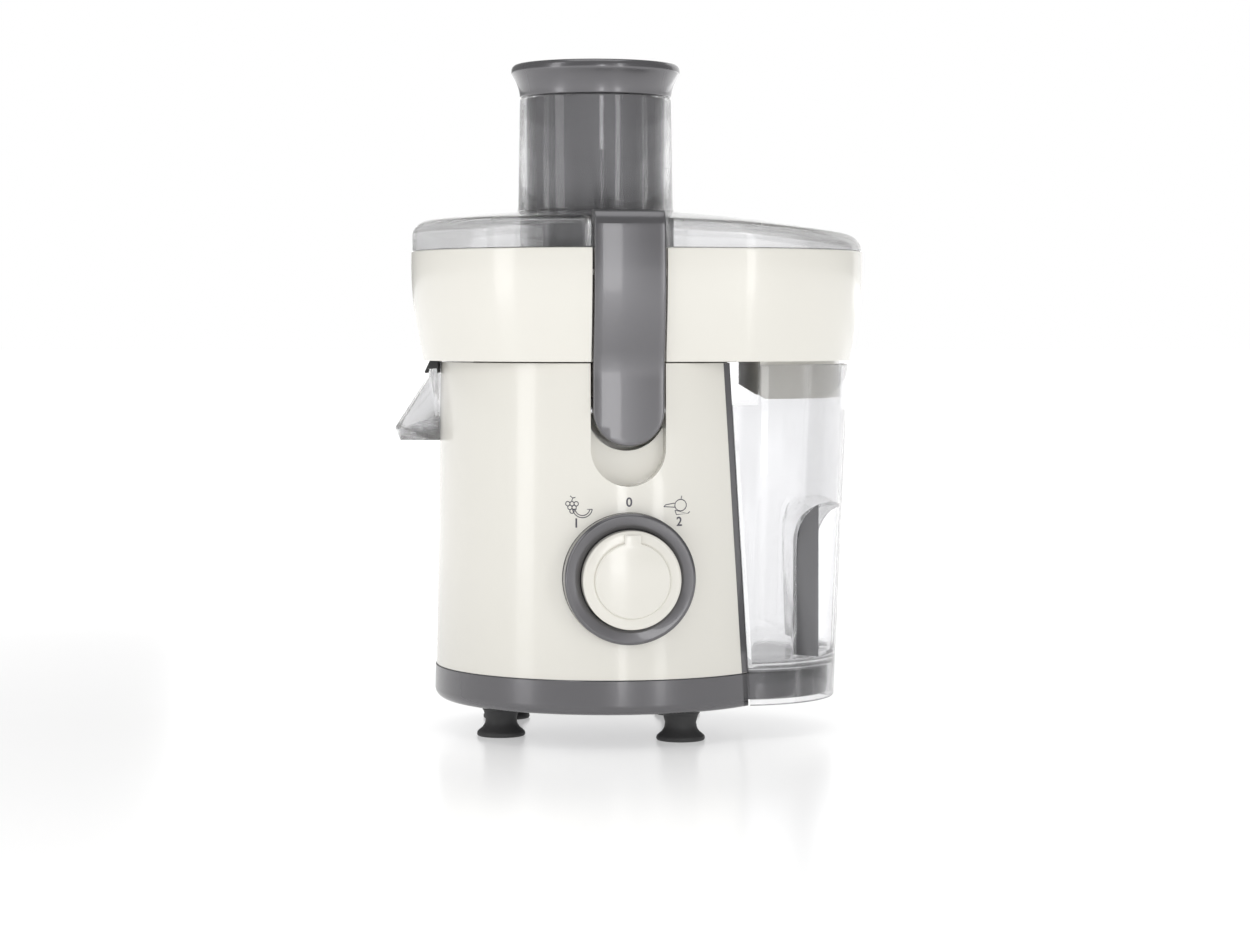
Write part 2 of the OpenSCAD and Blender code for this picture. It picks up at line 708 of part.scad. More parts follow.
// Bar across the motor with a seat for the bearing and holes for the long bolts
module bracket(z) difference() {
    union() {
        translate([0, 0, z]) cylinder(r = 12, h = 8);
        for (turn = [-1, 1]) rotate([0, 0, turn * atan(bolt_y / bolt_x)])
            translate([-36, -6, z]) cube([72, 12, 4]);
    }
    translate([0, 0, z + 2]) cylinder(r = 9, h = 8);
    translate([0, 0, z - 1]) cylinder(r = 6, h = 10);
    at_bolts() translate([0, 0, z - 1]) cylinder(r = 2.1, h = 10);
}
module upper_bracket() color("silver") at_motor() translate([0, 0, 162]) mirror([0, 0, 1]) bracket(0);
module lower_bracket() color("silver") at_motor() bracket(54);

// Brush holders stand on the lower bracket
brush_z = 73;
module brush_holder(side) color(brass) at_motor() scale([side, 1, 1]) difference() {
    translate([13, -5, 58]) cube([15, 10, brush_z + 5 - 58]);
    translate([12, -3, brush_z - 3]) cube([14, 6, 6]);
}
module brush_holder_left() brush_holder(-1);
module brush_holder_right() brush_holder(1);
module carbon_brushes() color(carbon) at_motor() for (side = [-1, 1]) scale([side, 1, 1])
    translate([11 + running, -3, brush_z - 3]) cube([9, 6, 6]);
module brush_springs() color(steel) at_motor() for (side = [-1, 1]) scale([side, 1, 1])
    translate([20 + running, 0, brush_z]) rotate([0, 90, 0]) difference() {
        cylinder(r = 2.4, h = 5.9);
        translate([0, 0, -1]) cylinder(r = 1.6, h = 9);
    }

module motor_mounts() color(rubber) at_posts() ring(2, 6, base_z + 29, 54);

// ---- controls ----

bezel_back_u = 84;
bezel_front_u = 98;
bezel_floor_u = 94;
knob_front_u = 105.4;
plateau_r = 19.3;
plateau_u = 107;

module knob_bezel() color(dark_grey) facing() difference() {
    union() {
        drum(bezel_r, bezel_back_u, bezel_front_u - 1.2, knob_z);
        translate([0, bezel_front_u - 1.2, knob_z]) rotate([-90, 0, 0])
            cylinder(r1 = bezel_r, r2 = bezel_r - 1.2, h = 1.2);
    }
    drum(knob_r + 0.65, bezel_floor_u, bezel_front_u + 1, knob_z);
    drum(bezel_r - 3, bezel_back_u - 1, bezel_floor_u - 3, knob_z);
    drum(3 + running, 80, 100, knob_z);
}

module knob() color(cream) facing() difference() {
    union() {
        drum(knob_r, bezel_floor_u + 0.6, knob_front_u - 2, knob_z);
        translate([0, knob_front_u - 2, knob_z]) rotate([-90, 0, 0])
            cylinder(r1 = knob_r, r2 = knob_r - 2, h = 2);
        drum(plateau_r, knob_front_u, plateau_u, knob_z);
        block(4.35, knob_front_u, plateau_u, knob_z + 12, knob_z + knob_r - 1.5);
    }
    drum(3, 90, 103, knob_z);
}

module switch_shaft() color(nylon) facing() drum(3, 66, 103, knob_z);

module selector_switch() color(carbon) facing() difference() {
    union() {
        block(14, 62, 83, knob_z - 14, knob_z + 14);
        drum(bezel_r - 1, 82, bezel_back_u, knob_z);
    }
    drum(3 + running, 65, 100, knob_z);
}

module interlock_switch() color(carbon) facing()
    translate([slot_half_w + 3, 66, deck_z - 18]) cube([8, 12, 15]);

// ---- mains inlet ----

module cord_gland() color(rubber) translate([motor_x, 0, gland_z]) rotate([-90, 0, 0]) difference() {
    union() {
        translate([0, 0, 84]) cylinder(r = gland_r, h = gland_end_y - 84 - 10);
        translate([0, 0, gland_end_y - 10]) cylinder(r1 = gland_r, r2 = gland_r - 1.2, h = 10);
    }
    translate([0, 0, 83]) cylinder(r = gland_bore_r, h = 40);
}

module terminal_block() color(nylon)
    translate([motor_x - 12, 56, base_z + base_floor]) difference() {
        cube([24, 12, 10]);
        for (i = [0:2]) translate([4 + 8 * i, 6, 4]) cylinder(r = 1.8, h = 10);
    }

motor_housing();
base_pan();
foot_front_left();
foot_front_right();
foot_rear_left();
foot_rear_right();
juice_collector();
spout();
lid();
pusher();
clamp_front();
clamp_rear();
clamp_pin_front();
clamp_pin_rear();
pulp_container();
filter_hub();
filter_mesh();
filter_rim();
grating_disc();
drive_coupling();
shaft_seal();
motor_shaft();
armature_core();
armature_winding();
commutator();
stator_core();
field_coils();
cooling_fan();
upper_bearing();
lower_bearing();
upper_bracket();
lower_bracket();
brush_holder_left();
brush_holder_right();
carbon_brushes();
brush_springs();
motor_bolts();
motor_mounts();
knob();
knob_bezel();
selector_switch();
switch_shaft();
interlock_switch();
cord_gland();
base_screws();
terminal_block();
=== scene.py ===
import bmesh
import bpy
import math
from mathutils import Matrix, Vector


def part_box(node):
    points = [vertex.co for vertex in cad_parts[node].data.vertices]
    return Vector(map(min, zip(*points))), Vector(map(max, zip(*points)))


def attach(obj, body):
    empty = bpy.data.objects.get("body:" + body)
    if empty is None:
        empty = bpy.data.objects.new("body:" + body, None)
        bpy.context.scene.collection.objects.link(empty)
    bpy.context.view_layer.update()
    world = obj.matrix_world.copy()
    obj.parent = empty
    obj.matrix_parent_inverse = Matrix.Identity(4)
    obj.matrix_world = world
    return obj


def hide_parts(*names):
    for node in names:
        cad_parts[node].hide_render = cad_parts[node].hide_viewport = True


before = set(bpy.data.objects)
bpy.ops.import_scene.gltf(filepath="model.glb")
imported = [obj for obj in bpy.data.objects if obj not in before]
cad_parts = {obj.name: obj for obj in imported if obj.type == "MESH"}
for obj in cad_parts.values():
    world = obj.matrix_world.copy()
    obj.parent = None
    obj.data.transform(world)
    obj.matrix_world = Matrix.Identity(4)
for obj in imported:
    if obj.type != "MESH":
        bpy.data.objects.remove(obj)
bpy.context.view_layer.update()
scene = bpy.context.scene


# ---- Studio ----
# A plain white table that runs out of sight, soft boxes to both sides and overhead, and a
# camera in front, a little above the juicer's middle and tipped slightly down.
class Socket:
    """A value in a finish; arithmetic on it adds Math nodes."""

    def __init__(self, finish, link):
        self.finish, self.link = finish, link

    def math(self, operation, first, second=0.0):
        return self.finish.node("ShaderNodeMath", {"operation": operation}, {0: first, 1: second})

    def __add__(self, other):
        return self.math("ADD", self, other)

    def __sub__(self, other):
        return self.math("SUBTRACT", self, other)

    def __rsub__(self, other):
        return self.math("SUBTRACT", other, self)

    def __mul__(self, other):
        return self.math("MULTIPLY", self, other)

    def __gt__(self, other):
        return self.math("GREATER_THAN", self, other)

    __radd__ = __add__
    __rmul__ = __mul__

    def sine(self):
        return self.math("SINE", self)


class Finish:
    """A material being made: its shader, and the nodes that vary it over the surface."""

    def __init__(self, name, colour, roughness, **constants):
        self.material = bpy.data.materials.new(name)
        self.material.use_nodes = True
        self.shader = self.material.node_tree.nodes["Principled BSDF"]
        self.place = self.node("ShaderNodeTexCoord", {}, {}, "Object")
        self.set("Base Color", (*colour, 1.0))
        self.set("Roughness", roughness)
        for socket, value in constants.items():
            self.set(socket.replace("_", " "), value)

    def feed(self, socket, value):
        if isinstance(value, Socket):
            self.material.node_tree.links.new(value.link, socket)
        else:
            socket.default_value = value

    def set(self, socket, value):
        self.feed(self.shader.inputs[socket], value)

    def node(self, kind, settings, sockets, out=0):
        made = self.material.node_tree.nodes.new(kind)
        for name, value in settings.items():
            setattr(made, name, value)
        for name, value in sockets.items():
            self.feed(made.inputs[name], value)
        return Socket(self, made.outputs[out])

    def noise(self, scale, detail=2.0, stretch=(1, 1, 1)):
        spread = self.node("ShaderNodeVectorMath", {"operation": "MULTIPLY"},
                           {0: self.place, 1: stretch})
        return self.node("ShaderNodeTexNoise", {},
                         {"Vector": spread, "Scale": scale, "Detail": detail})

    def mix(self, amount, first, second):
        return self.node("ShaderNodeMix", {"data_type": "RGBA"},
                         {0: amount, 6: first, 7: second}, 2)

    def relief(self, height, depth):
        self.set("Normal", self.node("ShaderNodeBump", {}, {"Height": height, "Distance": depth}))

    def moulded(self, colour, roughness, drift=0.04, grain=0.000012, grain_scale=700.0, haze=0.03):
        """Slow drift of tone and gloss, and the very fine skin that a steel mould leaves."""
        tone_scale, gloss_scale = 11.0, 14.0
        darker = tuple(c * (1 - drift) for c in colour)
        tone = self.mix(self.noise(tone_scale, 3.0), (*darker, 1.0), (*colour, 1.0))
        self.set("Base Color", tone)
        self.set("Roughness", self.noise(gloss_scale) * haze + (roughness - haze / 2))
        self.relief(self.noise(grain_scale, 1.0), grain)
        return self


middle = Vector((0, 0, 0.18))


def soft_box(name, place, size, power):
    """A soft box of a width and height, turned to the middle of the juicer."""
    light = bpy.data.lights.new(name, "AREA")
    light.shape, light.size, light.size_y, light.energy = "RECTANGLE", size[0], size[1], power
    lamp = bpy.data.objects.new(name, light)
    lamp.location = place
    lamp.rotation_euler = (middle - Vector(place)).to_track_quat("-Z", "Y").to_euler()
    lamp.visible_transmission = False
    scene.collection.objects.link(lamp)


# The table glows a little, least under the juicer, so that it stays white out to its far edge
# and the shadow still shows
table_half, glow_near, glow_far = 30, 0.15, 1.6
table_white = Finish("table_white", (0.84, 0.84, 0.84), 0.22, Emission_Strength=0.85)
table_white.set("Roughness", table_white.noise(3.0) * 0.04 + 0.2)
away = table_white.node("ShaderNodeVectorMath", {"operation": "LENGTH"},
                        {0: table_white.place}, "Value")
away = table_white.node("ShaderNodeMapRange", {},
                        {"Value": away, "From Min": glow_near, "From Max": glow_far})
table_white.set("Emission Color", table_white.mix(away, (0.42, 0.42, 0.42, 1), (1, 1, 1, 1)))
board = bmesh.new()
bmesh.ops.create_grid(board, x_segments=2, y_segments=2, size=table_half)
table_mesh = bpy.data.meshes.new("table")
board.to_mesh(table_mesh)
board.free()
table_mesh.materials.append(table_white.material)
table = bpy.data.objects.new("table", table_mesh)
scene.collection.objects.link(table)

soft_box("key_left", (-1.3, -0.9, 0.7), (0.4, 1.5), 4.4)
soft_box("fill_right", (1.0, -1.5, 0.45), (0.22, 1.2), 3.2)
soft_box("front_strip", (0.3, -1.9, 0.35), (0.18, 1.0), 3.0)
soft_box("overhead", (0, -0.2, 1.7), (1.2, 1.0), 5)
soft_box("back", (0.4, 1.5, 0.7), (2.0, 1.2), 6)

scene.world = scene.world or bpy.data.worlds.new("studio")
scene.world.use_nodes = True
room = scene.world.node_tree
backdrop = room.nodes["Background"]
backdrop.inputs["Color"].default_value = (1, 1, 1, 1)


def room_node(kind, settings, sockets, out=0):
    made = room.nodes.new(kind)
    for name, value in settings.items():
        setattr(made, name, value)
    for name, value in sockets.items():
        if isinstance(value, bpy.types.NodeSocket):
            room.links.new(value, made.inputs[name])
        else:
            made.inputs[name].default_value = value
    return made.outputs[out]


def room_choice(mask, off, on, low=0.0, high=1.0):
    """One value where the mask is low, another where it is high."""
    return room_node("ShaderNodeMapRange", {}, {"Value": mask, "From Min": low, "From Max": high,
                                                "To Min": off, "To Max": on})


# White behind and in front of the juicer, and darker to the sides, which draws the edges of
# the clear plastic; glossy plastic mirrors a dim room with the soft boxes in it
mirrored_level, diffuse_level, seen_level = 0.28, 0.5, 1.0
ray = room.nodes.new("ShaderNodeLightPath").outputs
direction = room.nodes.new("ShaderNodeTexCoord").outputs["Generated"]
heading = room_node("ShaderNodeSeparateXYZ", {}, {0: direction}, "Y")
heading = room_node("ShaderNodeMath", {"operation": "ABSOLUTE"}, {0: heading})
through = room_choice(heading, 0.32, 0.95, low=0.35, high=0.98)
level = room_choice(ray["Is Diffuse Ray"], mirrored_level, diffuse_level)
level = room_choice(ray["Is Transmission Ray"], level, through)
level = room_choice(ray["Is Camera Ray"], level, seen_level)
room.links.new(level, backdrop.inputs["Strength"])
scene.view_settings.view_transform = "Standard"

tipped_down = 2.756
camera_data = bpy.data.cameras.new("camera")
camera_data.lens = 85.2
camera_data.sensor_width = 36.0
camera = bpy.data.objects.new("camera", camera_data)
camera.location = (-0.0022, -1.6, 0.215)
camera.rotation_euler = (math.radians(90 - tipped_down), 0, 0)
scene.collection.objects.link(camera)
scene.camera = camera


# ---- Base pan ----
# The base is a shallow pan moulded in dark grey ABS with a rounded lower edge. Its flat side
# faces the pulp container, and a round shelf under the container stands on that side.
def span(node):
    """Lowest and highest corner of a CAD node in millimetres, in which all sizes here are."""
    low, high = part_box(node)
    return low * 1000, high * 1000


def edge_list(bm, least_turn=25):
    """The edges at which the surface turns by more than some degrees."""
    return [e for e in bm.edges if len(e.link_faces) == 2
            and e.calc_face_angle(0) > math.radians(least_turn)]


def piece(name, bm, finish, body, slot, *nodes, rounding=0.0, turn=32):
    """A finished piece from a mesh in millimetres, riding on its body in place of its CAD nodes."""
    bmesh.ops.scale(bm, verts=bm.verts, vec=(0.001, 0.001, 0.001))
    mesh = bpy.data.meshes.new(name)
    bm.to_mesh(mesh)
    bm.free()
    mesh.shade_smooth()
    mesh.set_sharp_from_angle(angle=math.radians(turn))
    mesh.materials.append(finish.material)
    made = bpy.data.objects.new(name, mesh)
    scene.collection.objects.link(made)
    if rounding:
        soft = made.modifiers.new("soft_edges", "BEVEL")
        soft.width, soft.segments, soft.limit_method = rounding * 0.001, 2, "ANGLE"
        soft.angle_limit, soft.harden_normals = math.radians(40), True
    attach(made, body)
    if nodes:
        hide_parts(*nodes)
    return made


def softened(section, radius, steps=4):
    """The section with each sharp corner drawn round, by up to the radius."""
    least_corner, share_of_side = math.radians(24), 0.45
    points = [Vector(p) for p in section]
    soft = [points[0]]
    for before, corner, after in zip(points, points[1:], points[2:]):
        back, on = before - corner, after - corner
        flat = min(back.length, on.length) < 1e-6 or math.pi - back.angle(on) < least_corner
        if flat:
            soft.append(corner)
            continue
        reach = min(radius, back.length * share_of_side, on.length * share_of_side)
        first, last = corner + back.normalized() * reach, corner + on.normalized() * reach
        for i in range(steps + 1):
            t = i / steps
            soft.append(first * (1 - t) ** 2 + corner * (2 * t * (1 - t)) + last * t ** 2)
    return soft + [points[-1]]


def turned(section, axis_x=0.0, steps=96):
    """A half section of radius and height, turned round an upright axis."""
    bm = bmesh.new()
    points = [bm.verts.new((r, 0, z)) for r, z in section]
    line = [bm.edges.new(pair) for pair in zip(points, points[1:])]
    if section[0][0] > 0:
        line.append(bm.edges.new((points[-1], points[0])))
    bmesh.ops.spin(bm, geom=points + line, cent=(0, 0, 0), axis=(0, 0, 1), dvec=(0, 0, 0),
                   angle=math.tau, steps=steps, use_merge=True)
    bmesh.ops.remove_doubles(bm, verts=bm.verts, dist=0.0005)
    bmesh.ops.recalc_face_normals(bm, faces=bm.faces)
    bmesh.ops.translate(bm, verts=bm.verts, vec=(axis_x, 0, 0))
    return bm


def joined(bm, *others):
    """The first mesh with the others added to it."""
    for other in others:
        mesh = bpy.data.meshes.new("joining")
        other.to_mesh(mesh)
        other.free()
        bm.from_mesh(mesh)
        bpy.data.meshes.remove(mesh)
    return bm


def extruded(outline, low, high):
    """A flat outline drawn up from one height to another."""
    bm = bmesh.new()
    flat = bm.faces.new([bm.verts.new((x, y, low)) for x, y in outline])
    top = bmesh.ops.extrude_face_region(bm, geom=[flat])["geom"]
    top = [v for v in top if isinstance(v, bmesh.types.BMVert)]
    bmesh.ops.translate(bm, verts=top, vec=(0, 0, high - low))
    bmesh.ops.recalc_face_normals(bm, faces=bm.faces)
    return bm


def carved(body, *cutters):
    """The body less each cutter."""
    for cutter in cutters:
        solids = []
        for shape in (body, cutter):
            mesh = bpy.data.meshes.new("carving")
            shape.to_mesh(mesh)
            shape.free()
            solids.append(bpy.data.objects.new("carving", mesh))
            scene.collection.objects.link(solids[-1])
        cut = solids[0].modifiers.new("cut", "BOOLEAN")
        cut.operation, cut.object, cut.solver = "DIFFERENCE", solids[1], "EXACT"
        body = bmesh.new()
        body.from_mesh(solids[0].evaluated_get(bpy.context.evaluated_depsgraph_get()).to_mesh())
        for solid in solids:
            bpy.data.objects.remove(solid)
    return body


# The body's flat side leans in by 11.1 mm over the body's height
body_height, recess_foot_x, lean_z = 178, 62.5, 20
recess_lean = math.atan(11.1 / body_height)
recess_normal = Vector((math.cos(recess_lean), 0, math.sin(recess_lean)))


def sliced(bm, point, normal, **settings):
    """New edges where a plane crosses the mesh."""
    return bmesh.ops.bisect_plane(bm, geom=bm.verts[:] + bm.edges[:] + bm.faces[:], dist=0.0001,
                                  plane_co=point, plane_no=normal, **settings)["geom_cut"]


def cut_at(bm, point, normal):
    """Cut away what lies beyond a plane, and close the cut."""
    cut = sliced(bm, point, normal, clear_outer=True)
    bmesh.ops.holes_fill(bm, edges=[e for e in cut if isinstance(e, bmesh.types.BMEdge)], sides=0)
    bmesh.ops.recalc_face_normals(bm, faces=bm.faces)
    return bm


def cut_at_recess(bm, shift=0.0, side=1):
    """Cut along the flat side, shifted along X; side -1 keeps what lies beyond it."""
    return cut_at(bm, (recess_foot_x + shift, 0, lean_z), recess_normal * side)


motor_x = (span("motor_shaft")[0].x + span("motor_shaft")[1].x) / 2
base_z = span("base_pan")[0].z
seam_z = span("motor_housing")[0].z
base_r, seam_r, base_wall, edge_r = 93.6, 93.3, 2.5, 5.5

dark_grey = Finish("dark_grey_gloss", (0.14, 0.137, 0.145), 0.2, Metallic=0.55,
                   Coat_Weight=0.5, Coat_Roughness=0.05)
dark_grey.moulded((0.145, 0.142, 0.15), 0.27, drift=0.04, grain=0.000003, haze=0.015)



def around(mid_x, mid_z, r, angles, flat=1.0):
    """Points on a circle, or on an ellipse that is flatter, at angles in degrees."""
    return [(mid_x + r * math.cos(math.radians(a)), mid_z + r * flat * math.sin(math.radians(a)))
            for a in angles]


base_outer = [(0, base_z), (base_r - edge_r, base_z)] + [
    (base_r - edge_r + edge_r * math.sin(math.radians(a)),
     base_z + edge_r - edge_r * math.cos(math.radians(a)))
    for a in range(9, 91, 9)] + [(seam_r, seam_z - 0.6), (seam_r - 0.6, seam_z)]
pan_floor = base_z + 3
base_inner = [(seam_r - base_wall, seam_z), (seam_r - base_wall, pan_floor), (0, pan_floor)]
pan = cut_at_recess(turned(base_outer + base_inner, motor_x))
hole_low, hole_high = base_z - 2, base_z + 5
vent_half_w, vent_half_l, vent_pitch = 1.2, 14, 6
screw_circle, screw_hole = 86, 3.4
holes = bmesh.new()
for i in range(-3, 4):
    vent_x = motor_x + vent_pitch * i
    vent = extruded([(vent_x - vent_half_w, -vent_half_l), (vent_x + vent_half_w, -vent_half_l),
                     (vent_x + vent_half_w, vent_half_l), (vent_x - vent_half_w, vent_half_l)],
                    hole_low, hole_high)
    joined(holes, vent)
for x, y in around(motor_x, 0, screw_circle, (45, 135, 225, 315)):
    hole = turned([(0, hole_low), (screw_hole, hole_low), (screw_hole, hole_high),
                   (0, hole_high)], 0, 24)
    bmesh.ops.translate(hole, verts=hole.verts, vec=(x, y, 0))
    joined(holes, hole)
pan = carved(pan, holes)
flat_side = cut_at_recess(turned(base_outer + [(0, seam_z)], motor_x))
flat_side = cut_at_recess(flat_side, -base_wall, -1)
shelf_x, shelf_r, shelf_low, shelf_top = 54, 53.4, 21, 35.6
shelf = softened([(0, shelf_low), (shelf_r, shelf_low), (shelf_r, shelf_top), (0, shelf_top)], 1.2)
shelf = cut_at_recess(turned(shelf, shelf_x, 72), -1, -1)
piece("base", joined(pan, flat_side, shelf), dark_grey, "root", "grey_shell", "base_pan",
      rounding=0.35)


# ---- Feet ----
# Four suction feet of soft black rubber: a stem that is pressed into the base and spreads
# into a thin disc with a hollow under it.
rubber = Finish("foot_rubber", (0.055, 0.055, 0.056), 0.55, Specular_IOR_Level=0.4)
rubber.moulded((0.06, 0.06, 0.061), 0.52, drift=0.15, grain=0.00004, grain_scale=420.0)
foot_section = softened([(0, 1.4), (8.6, 0.8), (10.6, 0.05), (12.4, 0), (12.9, 0.9), (12.6, 2.4),
                         (9.9, 4.6), (8.6, 6.6), (8.2, 9.4), (9.3, 13.4), (10, 14.2),
                         (10, base_z), (0, base_z)], 0.9)
for foot in ("foot_front_left", "foot_front_right", "foot_rear_left", "foot_rear_right"):
    low, high = span(foot)
    disc = turned(foot_section, (low.x + high.x) / 2, 48)
    bmesh.ops.translate(disc, verts=disc.verts, vec=(0, (low.y + high.y) / 2, 0))
    piece(foot + "_rubber", disc, rubber, "root", "rubber", foot)


# ---- Motor and its wiring ----
# A series motor on rubber posts: stacked steel sheets wound with enamelled copper wire, in
# die-cast brackets, with brushes in brass holders and a nylon fan on its shaft.
def dress(finish, *nodes):
    """Give CAD nodes a finish."""
    for node in nodes:
        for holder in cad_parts[node].material_slots:
            holder.material = finish.material


sheet_steel = Finish("stacked_sheets", (0.42, 0.42, 0.43), 0.4, Metallic=1.0)
sheets = 12566.0  # radians in a metre: a sheet in each half millimetre
height = sheet_steel.node("ShaderNodeSeparateXYZ", {}, {0: sheet_steel.place}, "Z")
gap = (height * sheets).sine() > 0.6
sheet_steel.set("Base Color", sheet_steel.mix(gap, (0.42, 0.42, 0.43, 1), (0.14, 0.14, 0.15, 1)))
sheet_steel.relief((height * sheets).sine(), 0.00008)
dress(sheet_steel, "stator_core", "armature_core")

bright_steel = Finish("bright_steel", (0.6, 0.6, 0.61), 0.25, Metallic=1.0)
bright_steel.set("Roughness", bright_steel.noise(60.0, 3.0, (1, 1, 12)) * 0.2 + 0.14)
bright_steel.relief(bright_steel.noise(300.0, 2.0, (1, 1, 14)), 0.00002)
dress(bright_steel, "motor_shaft", "motor_bolts", "base_screws", "upper_bearing", "lower_bearing",
      "brush_springs", "clamp_pin_front", "clamp_pin_rear")

enamelled_wire = Finish("enamelled_wire", (0.5, 0.2, 0.07), 0.3, Metallic=0.9)
strand = enamelled_wire.node("ShaderNodeTexWave", {"bands_direction": "Z"},
                             {"Vector": enamelled_wire.place, "Scale": 320.0,
                              "Distortion": 2.0, "Detail": 2.0}, 1)
enamelled_wire.set("Base Color", enamelled_wire.mix(strand, (0.2, 0.06, 0.02, 1),
                                                    (0.62, 0.27, 0.1, 1)))
enamelled_wire.relief(strand, 0.0003)
dress(enamelled_wire, "armature_winding", "field_coils", "commutator")

die_cast = Finish("die_cast_alloy", (0.55, 0.55, 0.56), 0.5, Metallic=0.9)
die_cast.set("Roughness", die_cast.noise(90.0, 4.0) * 0.25 + 0.38)
die_cast.relief(die_cast.noise(500.0, 3.0), 0.00012)
dress(die_cast, "upper_bracket", "lower_bracket")

brass = Finish("brass", (0.72, 0.5, 0.2), 0.3, Metallic=1.0)
brass.set("Roughness", brass.noise(80.0, 3.0) * 0.2 + 0.2)
dress(brass, "brush_holder_left", "brush_holder_right")

carbon = Finish("black_plastic", (0.03, 0.03, 0.03), 0.45)
carbon.moulded((0.034, 0.034, 0.035), 0.46, drift=0.2, grain=0.00005, grain_scale=380.0)
dress(carbon, "carbon_brushes", "interlock_switch", "selector_switch", "drive_coupling")

nylon = Finish("white_nylon", (0.78, 0.77, 0.72), 0.42, Subsurface_Weight=0.05)
nylon.moulded((0.8, 0.79, 0.74), 0.42, drift=0.08, grain=0.00004, grain_scale=300.0)
dress(nylon, "cooling_fan", "switch_shaft", "terminal_block", "filter_hub", "filter_rim")
dress(rubber, "motor_mounts", "shaft_seal", "cord_gland")


# ---- Motor housing ----
# The body is one moulding of glossy cream ABS, slightly narrower at its top deck, with a flat
# slanted side and a slot for each clamp. It drops onto the base and screws up from below.
def housing_r(z):
    """The body's radius, which is 3 mm less at its top."""
    return 93 - 3 * (z - lean_z) / body_height


cream_tone = (0.85, 0.83, 0.765)
cream = Finish("cream_gloss", cream_tone, 0.16, Coat_Weight=0.35, Coat_Roughness=0.05,
               Specular_IOR_Level=0.5)
cream.moulded(cream_tone, 0.19, drift=0.02)
dress(cream, "motor_housing")
# A dark plate lies on the flat side and ends just proud of the body's edge
deck_z, proud = 198, 0.12
panel_low, panel_top = seam_z + 0.1, deck_z - 0.1
side_panel = turned([(0, panel_low), (housing_r(seam_z) + proud, panel_low),
                     (housing_r(deck_z) + proud, panel_top), (0, panel_top)], motor_x, 128)
side_panel = cut_at_recess(cut_at_recess(side_panel, 0.7), -2.6, -1)
piece("side_panel", side_panel, dark_grey, "root", "grey_shell", rounding=0.3)


# ---- Knob and bezel ----
# The speed knob sits in a bezel ring of dark grey plastic that is pressed into the body. The
# knob is a cream cap with a raised disc and a pointer tab, pushed onto the switch's shaft.
front_turn = math.radians(7.2)
front = Matrix(((math.cos(front_turn), math.sin(front_turn), 0, motor_x),
                (math.sin(front_turn), -math.cos(front_turn), 0, 0), (0, 0, 1, 0), (0, 0, 0, 1)))
back = Matrix.Scale(-1, 4, (0, 1, 0)) @ front
knob_z = (span("knob")[0].z + span("knob")[1].z) / 2
# Stands a turned piece out of the body: its axis points outwards and its top is up
outwards = front @ Matrix(((1, 0, 0, 0), (0, 0, 1, 0), (0, 1, 0, knob_z), (0, 0, 0, 1)))


def put(bm, place):
    """The mesh moved, turned or mirrored to its place."""
    bmesh.ops.transform(bm, verts=bm.verts, matrix=place)
    bmesh.ops.recalc_face_normals(bm, faces=bm.faces)
    return bm


bezel = turned(softened([(28, 84), (33.75, 84), (33.75, 96.9), (32.4, 98), (27.3, 97.2),
                         (25.9, 96.2), (25.9, 94), (3.1, 94), (3.1, 91), (28, 91)], 0.45, 3),
               steps=128)
piece("bezel", put(bezel, outwards), dark_grey, "root", "grey_shell", "knob_bezel")


def rounded(bm, radius, segments=3, least_turn=25, keep=lambda edge: True):
    """The mesh with its sharp edges, or those of them to keep, bevelled round."""
    bmesh.ops.bevel(bm, geom=[e for e in edge_list(bm, least_turn) if keep(e)], offset=radius,
                    offset_type="OFFSET", affect="EDGES", segments=segments, profile=0.5,
                    material=-1, clamp_overlap=True)
    return bm


cap = turned(softened([(0, 97), (3, 97), (22.6, 97), (22.6, 94.6), (25.25, 94.6), (25.25, 104.2),
                       (24.2, 105.2), (20, 105.6), (19, 105.1), (18.2, 105.1), (0, 105.4)], 0.7),
             steps=128)
disc_r, tab_half_w, tab_end, disc_low, disc_top = 19.3, 4.35, 23.4, 104.6, 107
tab_turn = math.asin(tab_half_w / disc_r)
raised = [(disc_r * math.cos(a), disc_r * math.sin(a)) for a in
          [math.pi / 2 + tab_turn + (math.tau - 2 * tab_turn) * i / 90 for i in range(91)]]
raised += [(tab_half_w, tab_end), (-tab_half_w, tab_end)]
disc = rounded(extruded(raised, disc_low, disc_top), 0.9, 4, 60,
               lambda edge: all(v.co.z > disc_top - 0.1 for v in edge.verts))
piece("knob_cap", put(joined(cap, disc), outwards), cream, "knob", "cream_shell", "knob")


# ---- Dial marks ----
# The stops 0, 1 and 2 and two small drawings of soft and hard fruit are pad-printed on the
# body in dark grey ink, a few hundredths of a millimetre thick.
ink = Finish("grey_ink", (0.09, 0.085, 0.11), 0.4)
ink.moulded((0.1, 0.095, 0.12), 0.42, drift=0.2)


def wrapped(bm):
    """Lay a flat drawing, across and up in millimetres, on the body's front."""
    ink_lift = 0.03
    for v in bm.verts:
        r = housing_r(v.co.y) + ink_lift + v.co.z
        a = front_turn + v.co.x / r
        v.co = (motor_x + r * math.sin(a), -r * math.cos(a), v.co.y)
    bmesh.ops.recalc_face_normals(bm, faces=bm.faces)
    return bm


def flattened(curve):
    """A drawing's curve or text as a mesh, in millimetres."""
    drawing = bpy.data.objects.new("drawing", curve)
    scene.collection.objects.link(drawing)
    bm = bmesh.new()
    bm.from_mesh(drawing.evaluated_get(bpy.context.evaluated_depsgraph_get()).to_mesh())
    bpy.data.objects.remove(drawing)
    bpy.data.curves.remove(curve)
    return bm


